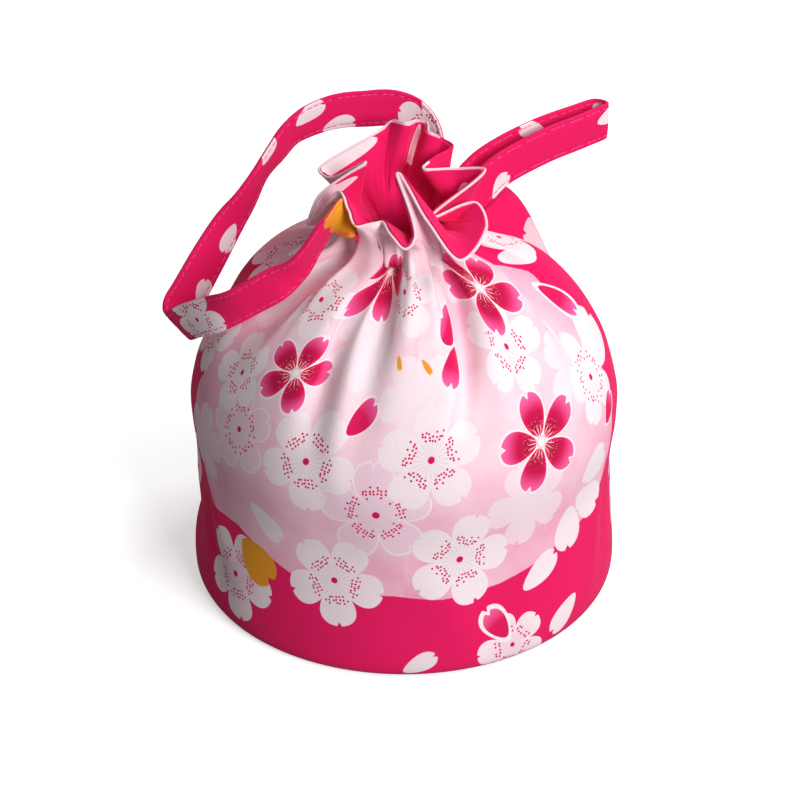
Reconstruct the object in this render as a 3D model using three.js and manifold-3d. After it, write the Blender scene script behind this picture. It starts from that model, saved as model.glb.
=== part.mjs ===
// A gathered drawstring pouch of printed cotton, in millimetres, +Z up.
// It stands on its round base, and the origin is the centre of the base's underside.
// The wall is one cloth from the seam at the base, over the gathered shoulder and neck, to the
// rim of the frill. A facing lines the frill and the neck, and two flat bands run in the channel
// between wall and facing and come out through slits at the left and the right.

import * as THREE from 'three';
import { mergeVertices } from 'three/addons/utils/BufferGeometryUtils.js';
import Module from 'manifold-3d';

const { clamp, degToRad, lerp, smoothstep } = THREE.MathUtils;

// Cloth and clearance
const CLOTH = 1.0;
const FIT = 0.3;
const LAYER_GAP = 1.0;

// Round body at its widest, just over the base, and the base that is sewn in under it
const BODY_RADIUS = 90;
const SEAM_TURN = 1;
const BASE_RADIUS = BODY_RADIUS - SEAM_TURN;
const BASE_THICKNESS = 1.2;
const BASE_SIDES = 96;

// Bands of folded cloth
const BAND_WIDTH = 16;
const BAND_THICKNESS = 2;
const BAND_EDGE = 0.5;
const BAND_GAP = 0.5;
const BAND_STEPS = 80;

// Neck, from the throat outwards: facing, right band, left band, wall
const THROAT_RADIUS = 14.5;
const FACING_NECK_RADIUS = THROAT_RADIUS + CLOTH;
const RIGHT_RING_RADIUS = FACING_NECK_RADIUS + BAND_GAP + BAND_THICKNESS / 2;
const LEFT_RING_RADIUS = RIGHT_RING_RADIUS + BAND_THICKNESS + 2 * BAND_GAP;
const WALL_NECK_RADIUS = LEFT_RING_RADIUS + BAND_THICKNESS / 2 + 2 * BAND_GAP + CLOTH;

// Wall profile: the radius at each level as a ratio of the body's, and the rise from the level below
const HEEL_RISE = 8;
const WAIST_RATIO = 0.961;
const WAIST_RISE = 42.5;
const CHEST_RATIO = 0.978;
const CHEST_RISE = 34;
const SHOULDER_RATIO = 0.844;
const SHOULDER_RISE = 34;
const COLLAR_RATIO = 0.533;
const COLLAR_RISE = 26;
const NECK_RISE = 7;
const CHANNEL_FLARE_BELOW = 8;
const CHANNEL_CREST = 3;
const CHANNEL_FLARE_ABOVE = 6;

// Gathers: how much of the narrowing the valleys take up, how sharp they are, how softly they
// meet the neck, and how upright the folds' sides stand there
const FULLNESS = 0.42;
const VALLEY_SHARPNESS = 1.4;
const NECK_ROUNDING = 2;
const MOST_UPRIGHT = 0.85;

// Frill: how far the cloth springs up from the neck and leans before it falls outwards,
// and how close to its crest a fold starts to droop
const FRILL_SPRING = 10;
const FRILL_LEAN = 0.3;
const CREST_DROOP = 3.5;

// Levels that the profile passes, counted up from the seam
const LEVEL = {
  chest: 3,
  gathered: 4,
  puffFrom: 3.8,
  puffFull: 4.6,
  puffTo: 5.4,
  channelBottom: 6,
  string: 7,
  channelTop: 8,
  facingFree: 8.25,
};

// Folds round the mouth, anticlockwise from the front, crest and valley in turn.
// rim, neck and body are the fold's bearings there in degrees from +X. reach and lift place
// the rim from the top of the channel, share is the valley's part in the gathers, and puff is
// how far the cloth of a crest stands up from the shoulder.
const FOLDS = [
  { rim: 268, neck: 280, body: 270, reach: 7, lift: -2.5, share: 0, puff: 0 },
  { rim: 283, neck: 300, body: 290, reach: -20.5, lift: 14, share: 0.9, puff: 0 },
  { rim: 313, neck: 324, body: 314, reach: 11, lift: -10.5, share: 0, puff: 1 },
  { rim: 334, neck: 343, body: 338, reach: -9, lift: 9, share: 0.8, puff: 0 },
  { rim: 371, neck: 367, body: 358, reach: 4, lift: 9, share: 0, puff: 4 },
  { rim: 388, neck: 388, body: 382, reach: -18, lift: 11, share: 1.2, puff: 0 },
  { rim: 412, neck: 408, body: 401, reach: 1, lift: 11.5, share: 0, puff: 17 },
  { rim: 436, neck: 435, body: 434, reach: -5, lift: 18, share: 1, puff: 0 },
  { rim: 456, neck: 458, body: 462, reach: 0, lift: 21, share: 0, puff: 3 },
  { rim: 478, neck: 481, body: 486, reach: -4, lift: 18, share: 0.7, puff: 0 },
  { rim: 511, neck: 508, body: 509, reach: 7, lift: 9, share: 0, puff: 2 },
  { rim: 530, neck: 530, body: 530, reach: -13, lift: 11, share: 1, puff: 0 },
  { rim: 549, neck: 552, body: 547, reach: 10, lift: -4, share: 0, puff: 0 },
  { rim: 561, neck: 573, body: 566, reach: -1, lift: 5, share: 0.6, puff: 0 },
  { rim: 573, neck: 596, body: 588, reach: 2, lift: 12.5, share: 0, puff: 0 },
  { rim: 596, neck: 622, body: 609, reach: -4.5, lift: 9, share: 1.2, puff: 0 },
];

// Samples of the cloth: around, closer where a fold is deep, and up at these levels
const SAMPLE_SPACING = 4.2;
const FEWEST_SAMPLES = 5;
const MOST_SAMPLES = 9;
const BODY_ROWS = [0, 0.5, 1, 1.6, 2.3, 3, 3.4, 3.8, 4.2, 4.6, 5, 5.25];
const MOUTH_ROWS = [5.5, 5.75, 6, 7, 8, 8.12, 8.25, 8.4, 8.6, 8.8, 9];
const WALL_ROWS = [...BODY_ROWS, ...MOUTH_ROWS];

// Slits in the wall where the bands come out: bearing of the middle, and width
const LEFT_SLIT_BEARING = 200;
const LEFT_SLIT_WIDTH = 8;
const RIGHT_SLIT_BEARING = 53;
const RIGHT_SLIT_WIDTH = 21;
const SLIT_REACH = 24;

// Free run of the left band, from the left slit round to the right slit.
// Each point is x and y as ratios of the body's radius and the height over the string line,
// then the direction across the band.
const LEFT_RUN = [
  [-0.311, -0.117, 0.5, 0, 0, 1],
  [-0.4, -0.178, -1.8, -0.39, -0.6, 0.7],
  [-0.489, -0.25, -10, -0.55, -0.4, 0.73],
  [-0.574, -0.298, -16, -0.49, -0.15, 0.86],
  [-0.668, -0.292, -21.5, -0.38, -0.19, 0.91],
  [-0.744, -0.278, -26, -0.28, -0.2, 0.94],
  [-0.844, -0.227, -32, -0.05, -0.1, 1],
  [-0.961, -0.111, -41, -0.15, -0.2, 0.97],
  [-1.033, 0.011, -49, -0.5, -0.28, 0.8],
  [-1.033, 0.089, -45.5, -0.7, -0.2, 0.7],
  [-0.983, 0.139, -39.5, -0.78, -0.12, 0.61],
  [-0.894, 0.211, -27, -0.73, -0.21, 0.65],
  [-0.806, 0.289, -15.5, -0.55, -0.38, 0.74],
  [-0.733, 0.344, -7.5, -0.41, -0.61, 0.68],
  [-0.656, 0.4, 3, -0.26, -0.76, 0.59],
  [-0.587, 0.433, 10.7, -0.3, -0.66, 0.68],
  [-0.518, 0.467, 17.9, -0.31, -0.56, 0.77],
  [-0.436, 0.5, 22.1, -0.21, -0.3, 0.93],
  [-0.309, 0.533, 25.2, -0.05, -0.09, 1],
  [-0.173, 0.556, 25.5, 0, 0, 1],
  [-0.044, 0.561, 25.5, 0, 0, 1],
  [0.056, 0.544, 22, 0, 0, 1],
  [0.133, 0.489, 14, 0, 0, 1],
  [0.161, 0.411, 5, 0, 0, 1],
  [0.133, 0.311, 0, 0, 0, 1],
];
const LEFT_RING_FROM = 80;
const LEFT_RING_TO = 200;

// Free run of the right band: out of the right slit to its tip, and back beside itself
const RIGHT_RUN = [
  [0.228, 0.183, 0, 0, 0, 1],
  [0.322, 0.222, 1.5, 0, 0, 1],
  [0.43, 0.278, 9, 0, 0, 1],
  [0.638, 0.4, 15, 0, 0, 1],
  [0.844, 0.533, 17.5, 0, 0, 1],
  [0.933, 0.606, 18.5, 0, 0, 1],
  [0.883, 0.65, 18.2, 0, 0, 1],
  [0.767, 0.594, 17.2, 0, 0, 1],
  [0.578, 0.483, 15, 0, 0, 1],
  [0.372, 0.361, 9, 0, 0, 1],
  [0.267, 0.306, 1.5, 0, 0, 1],
  [0.183, 0.244, 0, 0, 0, 1],
];
const RIGHT_RING_FROM = 78;
const RIGHT_RING_TO = 394;
const RING_STEP = 18;

// Colours of the print, as one field for each piece
const PALE_PINK = 0xf4c3da;
const HOT_PINK = 0xe8196b;
const COTTON_ROUGHNESS = 0.85;

// Levels of the wall as points of radius and height
const SEAM_HEIGHT = BASE_THICKNESS + FIT;
const CHANNEL_HALF = BAND_WIDTH / 2;
const PROFILE_STEPS = [
  [BASE_RADIUS, SEAM_HEIGHT],
  [BODY_RADIUS, HEEL_RISE],
  [BODY_RADIUS * WAIST_RATIO, WAIST_RISE],
  [BODY_RADIUS * CHEST_RATIO, CHEST_RISE],
  [BODY_RADIUS * SHOULDER_RATIO, SHOULDER_RISE],
  [BODY_RADIUS * COLLAR_RATIO, COLLAR_RISE],
  [WALL_NECK_RADIUS + CHANNEL_FLARE_BELOW, NECK_RISE],
  [WALL_NECK_RADIUS + CHANNEL_CREST, CHANNEL_HALF],
  [WALL_NECK_RADIUS + CHANNEL_FLARE_ABOVE, CHANNEL_HALF],
];
let levelHeight = 0;
const profilePoints = PROFILE_STEPS.map(([radius, rise]) => {
  levelHeight += rise;
  return new THREE.Vector2(radius, levelHeight);
});
const profile = new THREE.SplineCurve(profilePoints);
const chestRadius = profilePoints[LEVEL.chest].x;
const stringHeight = profilePoints[LEVEL.string].y;
const frillRoot = profilePoints[LEVEL.channelTop];

// Cloth surface
const smoothMax = (a, b, rounding) => (a + b + Math.hypot(a - b, rounding)) / 2;

function bearingOf(fold, level) {
  const towardsNeck = smoothstep(level, LEVEL.chest, LEVEL.channelBottom);
  const towardsRim = smoothstep(level, LEVEL.channelBottom, LEVEL.channelTop);
  return lerp(lerp(fold.body, fold.neck, towardsNeck), fold.rim, towardsRim);
}

// How far the folds stand on end at a level: 0 is a plain wave, 1 has upright sides
function uprightness(level) {
  return MOST_UPRIGHT * smoothstep(level, LEVEL.chest, LEVEL.channelBottom);
}

// Radius of the gathered wall up to the top of the channel, for a valley's share of the gathers
function gatheredRadius(dome, level, share) {
  const narrowing = Math.max(0, chestRadius - dome) * smoothstep(level, LEVEL.chest, LEVEL.gathered);
  const depth = share * FULLNESS * narrowing;
  const neckFloor = WALL_NECK_RADIUS * smoothstep(level, LEVEL.chest, LEVEL.channelBottom);
  return smoothMax(dome - depth, neckFloor, NECK_ROUNDING);
}

// Where on the shoulder a crest puffs up: 1 at its fullest, 0 at the chest and the neck
function puffAt(level) {
  const rising = smoothstep(level, LEVEL.puffFrom, LEVEL.puffFull);
  return rising * (1 - smoothstep(level, LEVEL.puffFull, LEVEL.puffTo));
}

// Height of the rim between two folds: where the crest hangs lower, it droops close to the crest
function rimLift(here, next, ease) {
  const startsAtCrest = here.share === 0;
  const crest = startsAtCrest ? here : next;
  const valley = startsAtCrest ? next : here;
  const crestward = startsAtCrest ? 1 - ease : ease;
  const power = crest.lift < valley.lift ? CREST_DROOP : 1;
  return lerp(valley.lift, crest.lift, crestward ** power);
}

// A point of the wall's outer face: turn counts half folds round the mouth, level counts upwards
function wallPoint(turn, level) {
  const index = Math.floor(turn);
  const along = turn - index;
  const here = FOLDS[index % FOLDS.length];
  const next = FOLDS[(index + 1) % FOLDS.length];
  const wrap = index + 1 >= FOLDS.length ? 360 : 0;
  const ease = (1 - Math.cos(Math.PI * along)) / 2;
  const swing = along + (uprightness(level) * Math.sin(2 * Math.PI * along)) / (2 * Math.PI);
  const bearing = degToRad(lerp(bearingOf(here, level), bearingOf(next, level) + wrap, swing));
  const share = here.share * (1 - ease) ** VALLEY_SHARPNESS + next.share * ease ** VALLEY_SHARPNESS;

  const domeLevel = Math.min(level, LEVEL.channelTop);
  const dome = profile.getPoint(domeLevel / LEVEL.channelTop);
  let radius = gatheredRadius(dome.x, domeLevel, share);
  let height = dome.y + lerp(here.puff, next.puff, ease) * puffAt(level);
  if (level > LEVEL.channelTop) {
    const reach = lerp(here.reach, next.reach, ease);
    const lift = rimLift(here, next, ease);
    const root = new THREE.Vector2(radius, height);
    const rim = new THREE.Vector2(frillRoot.x + reach, frillRoot.y + lift);
    const spring = new THREE.Vector2(radius + reach * FRILL_LEAN, height + FRILL_SPRING);
    const frill = new THREE.QuadraticBezierCurve(root, spring, rim).getPoint(level - LEVEL.channelTop);
    radius = frill.x;
    height = frill.y;
  }
  return new THREE.Vector3(radius * Math.cos(bearing), radius * Math.sin(bearing), height);
}

// Turns at which the cloth is sampled, from one fold to the next
const sampleTurns = FOLDS.flatMap((fold, index) => {
  const next = FOLDS[(index + 1) % FOLDS.length];
  const depth = Math.hypot(next.reach - fold.reach, next.lift - fold.lift);
  const count = clamp(Math.round(depth / SAMPLE_SPACING), FEWEST_SAMPLES, MOST_SAMPLES);
  return Array.from({ length: count }, (_, i) => index + i / count);
});

// Rows of points round the cloth, one row for each level
function clothRows(levels) {
  return levels.map((level) => sampleTurns.map((turn) => wallPoint(turn, level)));
}

// The rows moved along the cloth's normals, by a distance that is positive outwards
function offsetRows(rows, distance) {
  const count = rows[0].length;
  return rows.map((row, r) =>
    row.map((point, i) => {
      const around = row[(i + 1) % count].clone().sub(row[(i + count - 1) % count]);
      const above = rows[Math.min(r + 1, rows.length - 1)][i];
      const below = rows[Math.max(r - 1, 0)][i];
      const normal = around.cross(above.clone().sub(below)).normalize();
      return point.clone().addScaledVector(normal, distance);
    }),
  );
}

// A face of the facing at a depth under the wall, drawn in to a neck radius along the channel
function facingRows(depth, neckRadius) {
  const rows = offsetRows(clothRows(WALL_ROWS), -depth).slice(BODY_ROWS.length);
  return rows.map((row, r) => {
    const into = smoothstep(MOUTH_ROWS[r], MOUTH_ROWS[0], LEVEL.channelBottom);
    const outOf = 1 - smoothstep(MOUTH_ROWS[r], LEVEL.channelTop, LEVEL.facingFree);
    return row.map((point) => {
      const radius = Math.hypot(point.x, point.y);
      const scale = lerp(radius, Math.min(radius, neckRadius), into * outOf) / radius;
      return new THREE.Vector3(point.x * scale, point.y * scale, point.z);
    });
  });
}

// Solids from rows of points
function meshGeometry(points, triangles) {
  const geometry = new THREE.BufferGeometry().setFromPoints(points);
  geometry.setIndex(triangles);
  geometry.computeVertexNormals();
  return geometry;
}

// A closed tube of rows: each row joins the next, and the last row joins the first
function ringOfRows(rows) {
  const count = rows[0].length;
  const triangles = [];
  rows.forEach((row, r) => {
    const below = r * count;
    const above = ((r + 1) % rows.length) * count;
    row.forEach((_, i) => {
      const j = (i + 1) % count;
      triangles.push(below + i, below + j, above + j);
      triangles.push(below + i, above + j, above + i);
    });
  });
  return meshGeometry(rows.flat(), triangles);
}

// A shell of cloth: up the outer face and down the inner one
function clothShell(outerRows, innerRows) {
  return ringOfRows([...outerRows, ...innerRows.toReversed()]);
}

// Cutting with a boolean library, which takes closed meshes with shared vertices
const wasm = await Module();
wasm.setup();

function toSolid(geometry) {
  const bare = new THREE.BufferGeometry();
  bare.setAttribute('position', geometry.getAttribute('position'));
  bare.setIndex(geometry.getIndex());
  const merged = mergeVertices(bare);
  const vertProperties = new Float32Array(merged.getAttribute('position').array);
  const triVerts = new Uint32Array(merged.getIndex().array);
  return new wasm.Manifold(new wasm.Mesh({ numProp: 3, vertProperties, triVerts }));
}

function fromSolid(solid) {
  const { vertProperties, triVerts } = solid.getMesh();
  const geometry = new THREE.BufferGeometry();
  geometry.setAttribute('position', new THREE.BufferAttribute(new Float32Array(vertProperties), 3));
  geometry.setIndex(new THREE.BufferAttribute(new Uint32Array(triVerts), 1));
  geometry.computeVertexNormals();
  return geometry;
}

// A slit's cutter: an upright box that crosses the wall, but not the facing, at the string line
function slitCutter(bearing, width) {
  const inner = RIGHT_RING_RADIUS;
  const box = new THREE.BoxGeometry(SLIT_REACH, width, BAND_WIDTH + 2 * BAND_GAP);
  box.translate(inner + SLIT_REACH / 2, 0, stringHeight);
  box.rotateZ(degToRad(bearing));
  return toSolid(box);
}

// Bands: a flat section carried along a closed run
function ringPoints(radius, from, to) {
  const count = Math.round(Math.abs(to - from) / RING_STEP);
  return Array.from({ length: count + 1 }, (_, i) => {
    const bearing = degToRad(lerp(from, to, i / count));
    const ratio = radius / BODY_RADIUS;
    return [ratio * Math.cos(bearing), ratio * Math.sin(bearing), 0, 0, 0, 1];
  });
}

const BAND_SECTION = [
  [-BAND_WIDTH / 2, -BAND_THICKNESS / 2 + BAND_EDGE],
  [-BAND_WIDTH / 2 + BAND_EDGE, -BAND_THICKNESS / 2],
  [BAND_WIDTH / 2 - BAND_EDGE, -BAND_THICKNESS / 2],
  [BAND_WIDTH / 2, -BAND_THICKNESS / 2 + BAND_EDGE],
  [BAND_WIDTH / 2, BAND_THICKNESS / 2 - BAND_EDGE],
  [BAND_WIDTH / 2 - BAND_EDGE, BAND_THICKNESS / 2],
  [-BAND_WIDTH / 2 + BAND_EDGE, BAND_THICKNESS / 2],
  [-BAND_WIDTH / 2, BAND_THICKNESS / 2 - BAND_EDGE],
];

function bandGeometry(run) {
  const route = new THREE.CatmullRomCurve3(
    run.map(([x, y, rise]) => new THREE.Vector3(x * BODY_RADIUS, y * BODY_RADIUS, stringHeight + rise)),
    true,
  );
  const across = new THREE.CatmullRomCurve3(
    run.map((point) => new THREE.Vector3(point[3], point[4], point[5])),
    true,
  );
  const rows = Array.from({ length: BAND_STEPS }, (_, i) => {
    const t = i / BAND_STEPS;
    const centre = route.getPoint(t);
    const tangent = route.getTangent(t);
    const side = across.getPoint(t);
    side.addScaledVector(tangent, -side.dot(tangent)).normalize();
    const face = tangent.clone().cross(side);
    return BAND_SECTION.map(([u, v]) => centre.clone().addScaledVector(side, u).addScaledVector(face, v));
  });
  return ringOfRows(rows);
}

// Pieces
function piece(name, geometry, color) {
  const material = new THREE.MeshStandardMaterial({ color, roughness: COTTON_ROUGHNESS, metalness: 0 });
  const mesh = new THREE.Mesh(geometry, material);
  mesh.name = name;
  return mesh;
}

function makeOuterBase() {
  const disc = new THREE.CylinderGeometry(BASE_RADIUS, BASE_RADIUS, BASE_THICKNESS, BASE_SIDES);
  disc.rotateX(Math.PI / 2);
  disc.translate(0, 0, BASE_THICKNESS / 2);
  return piece('outer_base', disc, HOT_PINK);
}

function makeOuterWall() {
  const outerRows = clothRows(WALL_ROWS);
  const cloth = toSolid(clothShell(outerRows, offsetRows(outerRows, -CLOTH)));
  const leftSlit = slitCutter(LEFT_SLIT_BEARING, LEFT_SLIT_WIDTH);
  const rightSlit = slitCutter(RIGHT_SLIT_BEARING, RIGHT_SLIT_WIDTH);
  return piece('outer_wall', fromSolid(cloth.subtract(leftSlit).subtract(rightSlit)), PALE_PINK);
}

function makeMouthFacing() {
  const outerRows = facingRows(CLOTH + LAYER_GAP, FACING_NECK_RADIUS);
  const innerRows = facingRows(CLOTH + LAYER_GAP + CLOTH, THROAT_RADIUS);
  return piece('mouth_facing', clothShell(outerRows, innerRows), HOT_PINK);
}

function makeDrawstringLeft() {
  const hidden = ringPoints(LEFT_RING_RADIUS, LEFT_RING_FROM, LEFT_RING_TO);
  return piece('drawstring_left', bandGeometry([...hidden, ...LEFT_RUN]), HOT_PINK);
}

function makeDrawstringRight() {
  const hidden = ringPoints(RIGHT_RING_RADIUS, RIGHT_RING_FROM, RIGHT_RING_TO);
  return piece('drawstring_right', bandGeometry([...hidden, ...RIGHT_RUN]), HOT_PINK);
}

const pouch = new THREE.Group();
pouch.add(makeOuterBase(), makeOuterWall(), makeMouthFacing(), makeDrawstringLeft(), makeDrawstringRight());

export default pouch;
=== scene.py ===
# %% [markdown]
# # A gathered drawstring pouch of printed cotton
# The pouch stands on a round base. Its wall is one cloth that is gathered at the neck by two flat
# bands, opens into a frill above them, and is printed with cherry blossoms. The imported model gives
# every size. This script dresses it: finer folds, the print, the weave and the stitching.

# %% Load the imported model
import math
from functools import partial

import bpy
import numpy as np
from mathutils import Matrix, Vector


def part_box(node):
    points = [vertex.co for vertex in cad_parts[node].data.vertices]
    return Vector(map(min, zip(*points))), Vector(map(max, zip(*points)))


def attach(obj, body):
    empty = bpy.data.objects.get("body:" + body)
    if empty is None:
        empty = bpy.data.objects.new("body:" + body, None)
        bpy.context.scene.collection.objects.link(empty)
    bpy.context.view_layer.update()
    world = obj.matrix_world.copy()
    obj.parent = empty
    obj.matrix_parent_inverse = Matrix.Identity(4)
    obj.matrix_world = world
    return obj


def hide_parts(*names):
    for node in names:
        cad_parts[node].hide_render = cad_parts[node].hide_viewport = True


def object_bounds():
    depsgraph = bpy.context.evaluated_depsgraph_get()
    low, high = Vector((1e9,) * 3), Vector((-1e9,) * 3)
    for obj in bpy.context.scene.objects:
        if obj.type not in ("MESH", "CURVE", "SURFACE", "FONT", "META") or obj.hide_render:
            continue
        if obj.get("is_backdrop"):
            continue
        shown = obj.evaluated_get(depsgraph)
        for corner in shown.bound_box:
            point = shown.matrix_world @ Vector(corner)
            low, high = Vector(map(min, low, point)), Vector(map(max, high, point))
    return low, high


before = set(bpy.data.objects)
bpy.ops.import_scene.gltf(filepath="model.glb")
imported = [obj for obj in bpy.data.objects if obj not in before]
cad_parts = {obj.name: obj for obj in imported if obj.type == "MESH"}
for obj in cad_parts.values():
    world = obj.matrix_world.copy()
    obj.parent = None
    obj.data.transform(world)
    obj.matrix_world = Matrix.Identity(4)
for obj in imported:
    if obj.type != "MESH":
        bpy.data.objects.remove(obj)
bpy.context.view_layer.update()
MM = 0.001

# %% [markdown]
# ## Camera
# The photograph looks down at the pouch from the front through a longish lens. The camera stands
# where the solids, drawn from the same place, cover the pouch in the photograph.

# %% Camera
IMAGE_SIDE = 800
FOCAL_PIXELS = 2263
SENSOR_WIDTH = 36
EYE = (0, -0.8092, 0.5677)
LOOK_DOWN = math.radians(31.26)
MIDDLE_PIXELS = 4
NEAREST = 0.01


def add_object(name, data):
    thing = bpy.data.objects.new(name, data)
    bpy.context.scene.collection.objects.link(thing)
    return thing


lens = bpy.data.cameras.new("photo_camera")
lens.sensor_width = SENSOR_WIDTH
lens.lens = FOCAL_PIXELS / IMAGE_SIDE * SENSOR_WIDTH
lens.shift_x = -MIDDLE_PIXELS / IMAGE_SIDE
lens.clip_start = NEAREST
camera = add_object("photo_camera", lens)
camera.location = EYE
camera.rotation_euler = (math.pi / 2 - LOOK_DOWN, 0, 0)
bpy.context.scene.camera = camera
print("lens, mm:", round(lens.lens, 1))

# %% [markdown]
# ## Main sizes
# The sizes come from the boxes of the solids where a box shows them, and from the same named values
# as the solids where it doesn't: the heights of the profile's points, and the neck.

# %% Main sizes
wall_low, wall_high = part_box("outer_wall")
_, base_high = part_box("outer_base")
BODY_RADIUS = wall_high.x / MM
BASE_RADIUS = base_high.x / MM
BASE_THICKNESS = base_high.z / MM
SEAM_HEIGHT = wall_low.z / MM
NECK_RADIUS = 23
BAND_WIDTH = 16
BAND_THICKNESS = 2
# Levels count the profile's points from 0 at the seam, and the rim is one level above the last
CHEST, CHANNEL_BOTTOM, STRING, CHANNEL_TOP, RIM = 3, 6, 7, 8, 9
# The profile's points from the seam up: the rises between them, shares of the body's radius, and
# what the last points have more than the neck
RISES = (8, 42.5, 34, 34, 26, 7, BAND_WIDTH / 2, BAND_WIDTH / 2)
BODY_SHARES = (BASE_RADIUS / BODY_RADIUS, 1, 0.961, 0.978, 0.844, 0.533)
NECK_MORE = (8, 3, 6)

heights = np.cumsum([SEAM_HEIGHT, *RISES])
radii = np.concatenate([np.multiply(BODY_RADIUS, BODY_SHARES), np.add(NECK_RADIUS, NECK_MORE)])
PROFILE = np.column_stack([radii, heights])
STRING_HEIGHT = PROFILE[STRING, 1]
print("the bands lie at", STRING_HEIGHT, "mm, in a neck of", NECK_RADIUS, "mm radius")

# %% [markdown]
# ## Meshes from rows
# Each cloth piece is a closed shell: rows of points go up one face, over the edge and down the
# other. One function joins the rows into quads and stores each corner's place on the flat cloth as
# a UV map in millimetres, because the print belongs to the flat cloth.

# %% Meshes from rows
def quads_between(numbers):
    """Quads between rows of point numbers that close round."""
    beside = np.roll(numbers, -1, -1)
    corners = (numbers[..., :-1, :], beside[..., :-1, :], beside[..., 1:, :], numbers[..., 1:, :])
    return np.stack(corners, -1).reshape(-1, 4)


def shell(rows, around, up):
    """Rows of points that close both ways: points, quads and the flat places of their corners."""
    count_up, count_round = rows.shape[:2]
    numbers = np.arange(count_up * count_round).reshape(count_up, count_round)
    quads = quads_between(np.vstack([numbers, numbers[:1]]))
    flat_round = around[np.arange(count_round)[:, None] + (0, 1, 1, 0)]
    flat_up = np.append(up, up[0])[np.arange(count_up)[:, None] + (0, 0, 1, 1)]
    flat = np.stack(np.broadcast_arrays(flat_round, flat_up[:, None]), -1)
    return rows.reshape(-1, 3), quads, flat.reshape(-1, 4, 2)


def store_places(mesh, layer, places):
    mesh.uv_layers.new(name=layer).uv.foreach_set("vector", places.astype(np.float32).ravel())


def make_piece(name, points, quads, flat):
    mesh = bpy.data.meshes.new(name)
    mesh.from_pydata((points * MM).tolist(), [], quads.tolist())
    mesh.shade_smooth()
    store_places(mesh, "flat_mm", flat)
    print(name, "has", len(quads), "quads")
    return add_object(name, mesh)


def unit(vectors):
    return vectors / np.linalg.norm(vectors, axis=-1, keepdims=True)


# %% [markdown]
# ## Drawstring bands
# Each band is a strip of the same cotton, folded and stitched along both edges. It leaves the
# channel round the neck, makes a loop and goes back in. It is stiff enough to stand, so its line and
# its twist are given by points, as for the solids: a place, in shares of the body's radius and in
# millimetres above the middle of the channel, then the direction across the band.

# %% Lines of the bands
UPRIGHT = (0, 0, 1)
LEFT_RUN = np.array([
    (-0.21, -0.115, 0, -0.2, 0, 1),
    (-0.25, -0.2, 9.5, -0.43, 0.05, 0.9),
    (-0.325, -0.245, 8, -0.2, -0.7, 0.69),
    (-0.403, -0.267, -1.5, -0.26, -0.71, 0.65),
    (-0.474, -0.278, -10, -0.42, -0.55, 0.72),
    (-0.574, -0.298, -16, -0.49, -0.15, 0.86),
    (-0.668, -0.292, -21.5, -0.38, -0.19, 0.91),
    (-0.744, -0.278, -26, -0.28, -0.2, 0.94),
    (-0.844, -0.227, -32, -0.05, -0.1, 1),
    (-0.961, -0.111, -41, -0.15, -0.2, 0.97),
    (-1.033, 0.011, -49, -0.5, -0.28, 0.8),
    (-1.033, 0.089, -45.5, -0.7, -0.2, 0.7),
    (-0.983, 0.139, -39.5, -0.78, -0.12, 0.61),
    (-0.894, 0.211, -27, -0.73, -0.21, 0.65),
    (-0.806, 0.289, -15.5, -0.55, -0.38, 0.74),
    (-0.733, 0.344, -7.5, -0.41, -0.61, 0.68),
    (-0.656, 0.4, 3, -0.26, -0.76, 0.59),
    (-0.587, 0.433, 10.7, -0.3, -0.66, 0.68),
    (-0.518, 0.467, 17.9, -0.31, -0.56, 0.77),
    (-0.436, 0.5, 22.1, -0.21, -0.3, 0.93),
    (-0.309, 0.533, 25.2, -0.05, -0.09, 1),
    (-0.173, 0.556, 25.5, *UPRIGHT),
    (-0.044, 0.561, 25.5, *UPRIGHT),
    (0.056, 0.544, 22, *UPRIGHT),
    (0.133, 0.489, 14, *UPRIGHT),
    (0.161, 0.411, 5, *UPRIGHT),
    (0.133, 0.311, 0, *UPRIGHT),
])
RIGHT_RUN = np.array([(*place, *UPRIGHT) for place in (
    (0.228, 0.183, 0), (0.322, 0.222, 1.5), (0.43, 0.278, 9), (0.638, 0.4, 15),
    (0.844, 0.533, 17.5), (0.933, 0.606, 18.5), (0.883, 0.65, 18.2), (0.767, 0.594, 17.2),
    (0.578, 0.483, 15), (0.372, 0.361, 9), (0.267, 0.306, 1.5), (0.183, 0.244, 0),
)])
RING_STEP = 18
RING_DROP = 9
SAME_PLACE = 1e-4


def ring_run(radius, start, end):
    """The hidden part of a band, round the neck in the channel."""
    bearings = np.radians(np.linspace(start, end, round((end - start) / RING_STEP) + 1))
    share = radius / BODY_RADIUS
    return np.array([(share * np.cos(b), share * np.sin(b), -RING_DROP, *UPRIGHT) for b in bearings])


def cubic_step(here, after, leave, arrive, t):
    """A smooth line from one point to the next, which leaves and arrives with given slopes."""
    cubic = 2 * here - 2 * after + leave + arrive
    square = -3 * here + 3 * after - 2 * leave - arrive
    return ((cubic * t + square) * t + leave) * t + here


def closed_curve(points, steps):
    """A smooth closed line through points, which doesn't swing out where they are close together."""
    count = len(points)
    along = np.arange(steps) / steps * count
    index = np.floor(along).astype(int)
    t = (along - index)[:, None]
    p = [points[(index + k) % count] for k in (-1, 0, 1, 2)]
    gap = [np.sqrt(np.linalg.norm(b - a, axis=1, keepdims=True)) for a, b in zip(p, p[1:])]
    gap[1] = np.where(gap[1] < SAME_PLACE, 1, gap[1])
    gap[0], gap[2] = (np.where(g < SAME_PLACE, gap[1], g) for g in (gap[0], gap[2]))
    leave, arrive = (
        gap[1] * ((b - a) / first - (c - a) / (first + second) + (c - b) / second)
        for a, b, c, first, second in zip(p, p[1:], p[2:], gap, gap[1:]))
    return cubic_step(p[1], p[2], leave, arrive, t)


print("points of the bands:", len(LEFT_RUN), len(RIGHT_RUN))

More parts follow.
